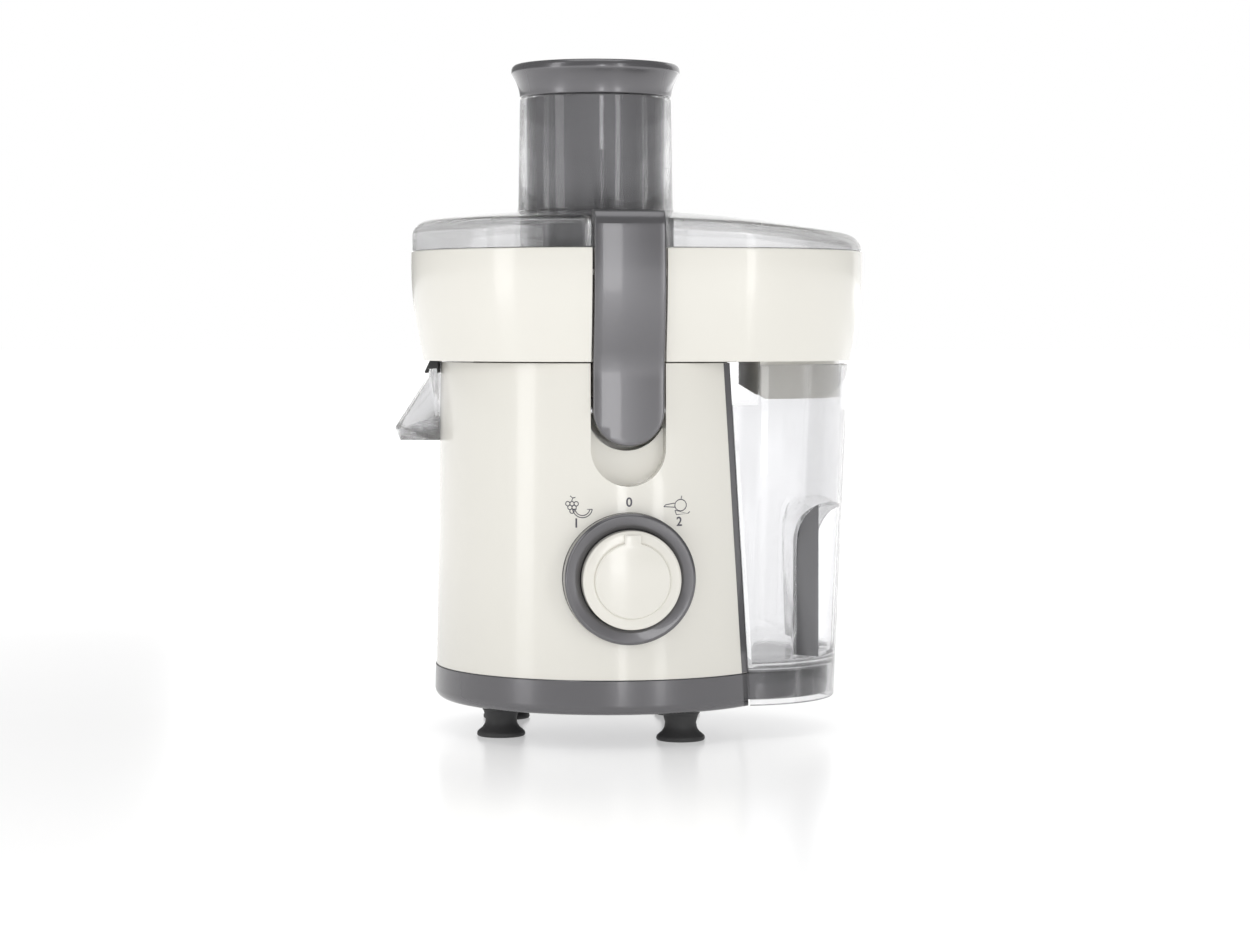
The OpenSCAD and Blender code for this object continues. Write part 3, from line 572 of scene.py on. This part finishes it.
for stop, (x, z) in enumerate(((0, 126.9), (-27.2, 116.2), (26.8, 116.6))):
    figure = bpy.data.curves.new("figure", "FONT")
    figure.body, figure.size, figure.extrude, figure.offset = str(stop), 6.6, 0.02, 0.11
    figure.align_x, figure.align_y = "CENTER", "CENTER"
    mark = flattened(figure)
    bmesh.ops.translate(mark, verts=mark.verts, vec=(x, z, 0))
    piece(f"dial_mark_{stop}", wrapped(mark), ink, "root", "grey_shell")


def arc(x, z, r, first=0, last=360, flat=1.0, steps=16):
    return around(x, z, r, [first + (last - first) * i / steps for i in range(steps + 1)], flat)


# Berries in rows of three, two and one, their stalk, and a slice of fruit with its peel
berries = [(0, 0), (1, 0), (2, 0), (0, 1), (1, 1), (0, 2)]
soft_fruit = [arc(-31.6 + 2.2 * i + 1.1 * row, 126.3 - 1.9 * row, 1.15) for i, row in berries]
soft_fruit += [arc(-24, 124.4, 5.2, 190, 350), [(-29.1, 123.5), (-18.9, 123.5)],
               arc(-24, 124.2, 3.9, 195, 345), [(-29.6, 127.5), (-29, 129.2), (-30.4, 130.3)],
               [(-29, 129.2), (-27.6, 129.6)]]
# An apple with its stalk, and a carrot and its leaves
hard_fruit = [arc(27.6, 125.2, 3.3, 60, 480, 0.9), [(27.8, 128), (28.2, 130)],
              [(18.2, 124.6), (19.4, 125.6), (24.2, 126.3)], [(18.2, 124.6), (24.4, 124.2)],
              [(24.4, 122.6), (31.6, 120.8), (25.2, 120.4), (24.4, 122.6)],
              [(31.6, 120.8), (33, 121.8)]]
pen_half_w, ink_flatness = 0.23, 0.15
for name, strokes in (("soft_fruit_mark", soft_fruit), ("hard_fruit_mark", hard_fruit)):
    pen = bpy.data.curves.new("pen", "CURVE")
    pen.dimensions, pen.bevel_depth, pen.bevel_resolution = "3D", pen_half_w, 1
    for stroke in strokes:
        line = pen.splines.new("POLY")
        line.points.add(len(stroke) - 1)
        for point, (x, z) in zip(line.points, stroke):
            point.co = (x, z, 0, 1)
    sketch = flattened(pen)
    bmesh.ops.scale(sketch, verts=sketch.verts, vec=(1, 1, ink_flatness))
    piece(name, wrapped(sketch), ink, "root", "grey_shell")


# ---- Juice collector ----
# A bellied oval ring in the body's cream ABS, with a round bowl for the sieve, a chute that drops
# the pulp into the container and a groove for each clamp. A hood under its left end holds the
# spout; it is made all in black plastic, which paints the shade inside the hood.
oval_left, oval_right = (-19.5, 91.5), (39.2, 80.0)
oval_turn = math.asin((oval_left[1] - oval_right[1]) / (oval_right[0] - oval_left[0]))
ring_z, ring_top = 198.8, 257.0


def bulge(z):
    """How far the ring's belly stands out at a height."""
    belly_r, belly_z, most = 213, 250, 6.4
    return most - belly_r + math.sqrt(belly_r ** 2 - (z - belly_z) ** 2)


def onto_oval(bm, hole_x=0.0, hole_r=0.0, blend_r=71.5):
    """Spread a turned shape from a round hole in the middle to the oval plan at its rim."""
    for v in bm.verts:
        r, a = v.co.xy.length, math.atan2(v.co.y, v.co.x)
        if r <= hole_r:
            v.co.x += hole_x
            continue
        end_x, end_r = oval_left if abs(a) > math.pi / 2 - oval_turn else oval_right
        way = Vector((math.cos(a), math.sin(a)))
        rim = Vector((end_x, 0)) + way * (end_r + max(r, blend_r) - oval_left[1])
        if r < blend_r:
            share = (r - hole_r) / (blend_r - hole_r)
            rim = rim * share + (Vector((hole_x, 0)) + way * hole_r) * (1 - share)
        v.co.x, v.co.y = rim
    bmesh.ops.recalc_face_normals(bm, faces=bm.faces)
    return bm


def block(half_w, near, far, low, high, place):
    """A block across the front or back, between two distances from the body's axis."""
    return put(extruded([(-half_w, near), (half_w, near), (half_w, far), (-half_w, far)],
                        low, high), place)


wall_section = [(oval_left[1] + bulge(z), z) for z in
                [ring_z + (ring_top - ring_z) * i / 16 for i in range(17)]]
wall_inner = [(r - 2.5, z) for r, z in reversed(wall_section)]
wall = onto_oval(turned(softened(wall_section + wall_inner, 0.9), steps=160))
groove_half_w, groove_near, groove_floor, groove_wall = 19.4, 83.5, 86, 21.5
wall = carved(wall, *[block(groove_half_w, groove_floor, 120, ring_z - 2, ring_top + 2, place)
                      for place in (front, back)])
groove_low, groove_top = ring_z + 0.1, ring_top - 0.1
grooves = []
for place in (front, back):
    grooves += [block(groove_wall, groove_near, groove_floor, groove_low, groove_top, place)]
    for side in (-1, 1):
        cheek = extruded([(side * groove_half_w, groove_near), (side * groove_wall, groove_near),
                          (side * groove_wall, 90), (side * groove_half_w, 90)],
                         groove_low, groove_top)
        grooves.append(put(cheek, place))
bowl_r, bowl_top = 72.5, 246
bowl = turned(softened([(18, 198), (bowl_r, 198), (bowl_r, bowl_top), (70, bowl_top), (70, 201),
                        (18.2, 201), (18, 208), (16, 208), (16, 198)], 0.6, 3), motor_x, 128)
chute_x, chute_r, chute_half_turn, chute_shrink = 54, 59.6, 76.3, 0.963
chute_outline = around(chute_x, 0, chute_r,
                       [chute_half_turn - 2 * chute_half_turn * i / 48 for i in range(49)])
chute_outline = [(59, 16)] + chute_outline + [(59, -16)]
chute_inner = [(chute_x + (x - chute_x) * chute_shrink, y * chute_shrink) for x, y in chute_outline]
chute_inner[0], chute_inner[-1] = (61, 15.4), (61, -15.4)
chute = carved(extruded(chute_outline, 179, bowl_top - 0.1), extruded(chute_inner, 170, 260))
chute = cut_at(chute, (71, 0, 179), Vector((-7.5, 0, -13)).normalized())
flange = turned([(72.4, 243), (94, 243), (94, bowl_top), (72.4, bowl_top)], 0, 160)
flange = carved(onto_oval(flange, motor_x, bowl_r, 90), extruded(chute_inner, 240, 250))


def upended(side_view, half_w):
    """A side view, along X and up, drawn out to both sides."""
    return put(extruded(side_view, -half_w, half_w), Matrix.Rotation(math.radians(90), 4, "X"))


# The hood's black plastic is painted shade, standing in for the shadow inside it over the spout's
# root
hood = upended([(-102.1, 201.8), (-105.6, 201.8), (-106.6, 199), (-109.6, 192.6), (-109.2, 192),
                (-108.2, 192), (-107.4, 194.4), (-103, 194.4), (-103, 192), (-102.1, 192)], 15)
piece("outlet_hood_painted_shade", rounded(hood, 0.3, 2), carbon, "root", "black_plastic")
piece("collector", joined(wall, bowl, chute, flange, *grooves), cream, "root", "cream_shell",
      "juice_collector", rounding=0.3)


# ---- Spout ----
# The spout is a separate thin-walled moulding of clear SAN, clipped up under the hood: a wedge
# whose roof leads the juice forward and down, with a lip round its mouth.
def opened(bm):
    """The mesh without its level faces, so that it is open above and below."""
    bmesh.ops.delete(bm, context="FACES", geom=[f for f in bm.faces if abs(f.normal.z) > 0.95])
    return bm


def on_roof(edge):
    """True for the two long edges of the wedge's roof."""
    drop = abs(edge.verts[0].co.z - edge.verts[1].co.z)
    return drop > 20 and max(v.co.x for v in edge.verts) < -107


spout_back, spout_low = -101.9, 156
wedge = upended([(spout_back, 194.3), (-107.0, 194.3), (-107.8, 190.4), (-125.6, 163),
                 (-122.6, spout_low), (spout_back, spout_low)], 13)
wedge = opened(rounded(wedge, 5.0, 1, 30, on_roof))
lip = opened(upended([(spout_back, 168.2), (-113, 166), (-120.5, 163.1), (-125.3, 163.1),
                      (-122.6, 160.6), (-122.3, spout_low + 0.1), (spout_back, spout_low + 0.1)],
                     13.4))
spout_grey = Finish("spout_clear_plastic", (0.8, 0.8, 0.81), 0.05, Transmission_Weight=1.0,
                    IOR=1.49, Alpha=0.6)
spout_grey.set("Roughness", spout_grey.noise(30.0) * 0.06 + 0.03)
walls = piece("spout_clear", joined(wedge, lip), spout_grey, "root", "clear_plastic", "spout")
thin = walls.modifiers.new("wall", "SOLIDIFY")
thin.thickness, thin.offset = 0.0014, -1


# ---- Pulp container ----
# A clear cup of SAN that slides in from the side, with one flat wall next to the body. Its outer
# end is drawn in to an arched grip with a rib down its middle. A thin grey sheet on the slanted
# wall of the grip's front hollow is painted shade: it darkens that wall as shade does when seen
# edge-on.
cup_x, cup_foot, cup_floor, cup_top = 54.0, span("pulp_container")[0].z, 38.0, 197.0


def cup_r(z):
    return 57 + 7.4 * (z - cup_foot) / (cup_top - cup_foot)


def cup_cone(inset, low, high):
    """The cup's cone between two heights, drawn in by an inset."""
    return turned(softened([(0, low), (cup_r(low) - inset, low), (cup_r(high) - inset, high),
                            (0, high)], 1.2), cup_x, 144)


def grip(grow, place):
    """Arched hollow beside the grip's rib, with a wall that slants in towards the rib."""
    arch_x, arch_z, arch_r, foot_z = 112, 103.3, 24.2 + grow, 44
    beyond, depth, rib_half_w, rib_x = 150, 33, 16, 119.5
    arch = [(arch_x - arch_r, foot_z - grow)] + around(arch_x, arch_z, arch_r, range(180, 89, -5))
    hollow = extruded(arch + [(beyond, arch_z + arch_r), (beyond, foot_z - grow)], 0, depth)
    for v in hollow.verts:
        if v.co.z < 1 and v.co.x < 140:
            v.co.x = rib_x + (v.co.x - rib_x) * 0.6
            v.co.y = foot_z + (v.co.y - foot_z) * 0.92
        elif v.co.z > depth - 1 and v.co.x > 140:
            v.co.z += 40
    bmesh.ops.rotate(hollow, verts=hollow.verts, cent=(0, 0, 0),
                     matrix=Matrix.Rotation(math.radians(90), 3, "X"))
    bmesh.ops.translate(hollow, verts=hollow.verts, vec=(0, grow - rib_half_w, 0))
    return put(hollow, place)


as_drawn, mirrored = Matrix(), Matrix.Scale(-1, 4, (0, 1, 0))
cup_wall = 2
cup = carved(cut_at_recess(cup_cone(0, cup_foot, cup_top), 1, -1), grip(0, as_drawn),
             grip(0, mirrored), cup_cone(cup_wall, cup_foot - 3, cup_floor))
room_in_cup = cut_at_recess(cup_cone(cup_wall, cup_floor + 2, cup_top + 4), 1 + cup_wall, -1)
room_in_cup = carved(room_in_cup, grip(cup_wall, as_drawn), grip(cup_wall, mirrored))
near_opening = extruded([(40, -70), (67, -70), (67, 70), (40, 70)], 176, 210)
cup = carved(cup, room_in_cup, near_opening)
cup_clear = Finish("container_clear_plastic", (0.84, 0.84, 0.85), 0.03, Transmission_Weight=1.0,
                   IOR=1.46, Alpha=0.85)
cup_clear.set("Roughness", cup_clear.noise(22.0) * 0.04 + 0.015)
# Painted shade: a grey, partly see-through sheet that darkens the grip hollow's slanted wall
grip_painted_shade = Finish("grip_painted_shade_plastic", (0.2, 0.2, 0.21), 0.2, Alpha=0.8)
grip_painted_shade.moulded((0.24, 0.24, 0.25), 0.22, drift=0.25)



def off_lining(face):
    """True for a face of the hollow that isn't on its arched, slanted wall."""
    outward = face.normal
    return (outward.x > -0.1 and outward.z < 0.3 or abs(outward.y) > 0.9 or outward.z < -0.5
            or face.calc_center_median().x > 111)


# The sheet of painted shade keeps only the hollow's arched, slanted wall
shade_sheet_side = grip(-0.2, as_drawn)
bmesh.ops.delete(shade_sheet_side, context="FACES", geom=[f for f in shade_sheet_side.faces if off_lining(f)])
sliced(shade_sheet_side, (99, 0, 0), (1, 0, 0), clear_outer=True)
shade_sheet = piece("grip_shade_sheet", shade_sheet_side, grip_painted_shade, "pulp_container", "grey_shell")
thick = shade_sheet.modifiers.new("thick", "SOLIDIFY")
thick.thickness, thick.offset = 0.0007, -1
piece("container_clear", cup, cup_clear, "pulp_container", "clear_plastic", "pulp_container",
      rounding=0.3)


# ---- Sieve ----
# The sieve is a cone of etched stainless steel sheet between a nylon hub and rim; the disc in
# its floor is punched into rows of small teeth that grate the fruit.
perforated = Finish("perforated_steel", (0.6, 0.6, 0.61), 0.3, Metallic=1.0)
x, y, z = (perforated.node("ShaderNodeSeparateXYZ", {}, {0: perforated.place}, axis)
           for axis in "XYZ")
bearing = perforated.node("ShaderNodeMath", {"operation": "ARCTAN2"},
                          {0: y, 1: x - motor_x * 0.001})
# 220 waves round the cone, and one in each 1.6 mm of height
hole = ((bearing * 220.0).sine() * (z * 3900.0).sine()) > 0.45
perforated.set("Base Color", perforated.mix(hole, (0.62, 0.62, 0.63, 1), (0.05, 0.05, 0.05, 1)))
perforated.relief(1.0 - hole, 0.0002)
dress(perforated, "filter_mesh")
dress(bright_steel, "grating_disc")


# ---- Lid and feeding tube ----
# The lid is moulded in clear SAN in one piece with the wide feeding tube: a very flat dome with
# a rounded shoulder, a lip inside the collector and a seat on each side for a clamp's hook.
clear = Finish("clear_plastic", (0.92, 0.92, 0.93), 0.03, Transmission_Weight=1.0, IOR=1.46,
               Alpha=0.75)
clear.set("Roughness", clear.noise(25.0) * 0.03 + 0.015)
clear.set("Base Color", clear.mix(clear.noise(6.0), (0.9, 0.9, 0.91, 1), (0.95, 0.95, 0.955, 1)))
dome_z, dome_r, tube_x, lid_z, tube_top = 279.5, 697.0, -18.1, 257.3, 339.0
shoulder, skin = 7.0, 2.4


def dome_rings(inset, first_r, last_r, steps=10):
    """Points along the dome while it is still flat."""
    return [(first_r + (last_r - first_r) * i / steps, dome_z - inset) for i in range(steps + 1)]


lid_r, lip_low, tube_foot = oval_left[1] + 5.8, 250.5, 226
shoulder_x, shoulder_z = lid_r - shoulder, dome_z - shoulder
outer = [(lid_r - 2.6, lip_low), (lid_r - 2.6, lid_z), (lid_r, lid_z)]
outer += around(shoulder_x, shoulder_z, shoulder, range(0, 91, 10)) + dome_rings(0, 86, 45)
outer += [(43.3, dome_z), (42.3, 278.9), (41.75, 280.2), (40.7, tube_top - 0.6),
          (40.1, tube_top), (38.8, tube_top), (38.2, tube_top - 0.6)]
inner = [(38.2, tube_foot + 0.5), (38.7, tube_foot), (40.2, tube_foot), (40.7, tube_foot + 0.5),
         (40.7, 274.4)] + dome_rings(skin, 43.2, 86)
inner += around(shoulder_x, shoulder_z, shoulder - skin, range(90, -1, -15))
inner += [(lid_r - skin, lid_z + 0.2), (lid_r - 4.6, lid_z - 0.6), (lid_r - 4.6, lip_low)]
shell = turned(outer + inner, 0, 160)
for v in shell.verts:
    v.co.z = round(v.co.z, 4)
# The tube stays round out to tube_r, and from there the lid spreads to the oval and is domed
tube_r = 43.05
shell = onto_oval(shell, tube_x, tube_r)
for v in shell.verts:
    reach = math.hypot(v.co.x - tube_x, v.co.y)
    if v.co.z > lid_z + 1 and reach > tube_r + 0.01:
        v.co.z -= dome_r - math.sqrt(dome_r ** 2 - reach ** 2)
bmesh.ops.recalc_face_normals(shell, faces=shell.faces)
seat = [(77, lid_z), (79.5, lid_z), (79.5, 265.5), (87.5, 265.5), (87.5, lid_z), (90, lid_z),
        (90, 264), (86, 268), (79.5, 268), (79.5, 274), (77, 274)]
cheek = [(77, lid_z), (94.7, lid_z), (94.7, 270.2), (93.4, 272.0), (77, 274)]
upright = Matrix(((0, 0, 1, 0), (1, 0, 0, 0), (0, 1, 0, 0), (0, 0, 0, 1)))
seat_half_w, cheek_middle, cheek_half_t = 19.7, 21.05, 1.35
seats = []
for place in (front, back):
    seats.append(put(rounded(extruded(seat, -seat_half_w, seat_half_w), 0.3, 2), place @ upright))
    for side in (-1, 1):
        cheek_plate = extruded(cheek, side * cheek_middle - cheek_half_t,
                               side * cheek_middle + cheek_half_t)
        seats.append(put(rounded(cheek_plate, 0.4, 2), place @ upright))
shell = carved(shell, *[block(22.4, 77, 120, 240, 290, place) for place in (front, back)])
piece("lid_clear", joined(shell, *seats), clear, "lid", "clear_plastic", "lid", turn=28)


# ---- Pusher ----
# The pusher is a hollow cup of the base's dark grey plastic that fills the tube, with a flared
# rim that rests on the tube's mouth and serves as its handle.
flare_z = tube_top + 0.5
pusher_top = span("pusher")[1].z
neck_r, pusher_r, pusher_bore, pusher_foot, pusher_floor = 40.7, 37, 34.5, 224, 226.5
flare = [(neck_r + 4.7 * (i / 8) ** 1.9, flare_z + 13.2 * i / 8) for i in range(1, 9)]
pusher_section = [(0, pusher_foot), (pusher_r, pusher_foot), (pusher_r, flare_z), (neck_r, flare_z)]
pusher_section += flare + [(45.1, 355.4), (43.8, pusher_top), (39.9, pusher_top), (39, 356.2),
                           (pusher_bore, 345), (pusher_bore, pusher_floor), (0, pusher_floor)]
piece("pusher_cup", turned(softened(pusher_section, 1.2), tube_x, 128), dark_grey, "pusher",
      "grey_shell", "pusher")


# ---- Clamps ----
# Each clamp is a moulded arm that turns on a steel pin in the body's slot. It follows the
# collector's belly and rolls over at the top into a hook, which presses the lid down.
clamp_half, lobe_z, clamp_top = 18.35, 174.0, 276.5


def arm_face(z):
    """How far the arm's outer face stands from the body's axis at a height."""
    hook_z = 266
    if z > hook_z:
        return 90.4 + 7.9 * math.sqrt(max(0.0, 1 - ((z - hook_z) / 10.5) ** 2))
    return 92.2 + bulge(max(z, deck_z)) + 0.2 * min(1.0, max(0.0, (deck_z - z) / 44))


def arm_back(z):
    """The same for its inner face: hook, lid, arm and lobe, from the top down."""
    return 84.0 if z > 269 else 91.0 if z > 257.4 else 87.0 if z > 181 else 79.6


def clamp(place):
    """An arm cut from a plate, sliced across and along, and each slice moved to its depth."""
    plate = 12
    outline = [(-clamp_half, clamp_top), (-clamp_half, lobe_z)]
    outline += around(0, lobe_z, clamp_half, range(184, 360, 4))
    outline += [(clamp_half, lobe_z), (clamp_half, clamp_top)]
    bm = extruded(outline, 0, plate)
    rounded(bm, 1.1, 4, 30, lambda edge: all(v.co.z > plate - 0.1 for v in edge.verts))
    for x in (-14, -9.5, -5, 0, 5, 9.5, 14):
        sliced(bm, (x, 0, 0), (1, 0, 0))
    for z in [160, 166, 172, 178, 180.9, 181.1, 190, 198] + [198 + 7 * i for i in range(1, 9)] + [
            257.3, 257.5, 262, 266, 268.9, 269.1, 271, 272.5, 273.8, 275, 275.7]:
        sliced(bm, (0, z, 0), (0, 1, 0))
    for v in bm.verts:
        x, z, depth = v.co.x, v.co.y, plate - v.co.z
        crown = 0.7 * (x / clamp_half) ** 2
        out = arm_face(z) - depth - crown if depth < plate / 2 else arm_back(z)
        v.co = (x, out, z)
    return put(bm, place)


# Under each lobe a cream apron closes the slot, just clear of the lobe's path
slot_half_w, apron_low, apron_near = 19.35, 151.9, 76
apron_top = [(x, max(152.4, 173.4 - math.sqrt(max(0.0, clamp_half ** 2 - x ** 2) + 8.8 ** 2)))
             for x in [slot_half_w * math.sin(math.radians(a)) for a in range(-90, 91, 6)]]
facing = Matrix(((1, 0, 0, 0), (0, 0, 1, apron_near), (0, 1, 0, 0), (0, 0, 0, 1)))
for place, name in ((front, "slot_apron_front"), (back, "slot_apron_rear")):
    apron = extruded([(slot_half_w, apron_low), (-slot_half_w, apron_low)] + apron_top, 0, 4)
    piece(name, put(apron, place @ facing), cream, "root", "cream_shell", rounding=0.5)
for place, body in ((front, "clamp_front"), (back, "clamp_rear")):
    piece(body.replace("clamp", "clamp_arm"), clamp(place), dark_grey, body, "grey_shell", body,
          rounding=0.25)
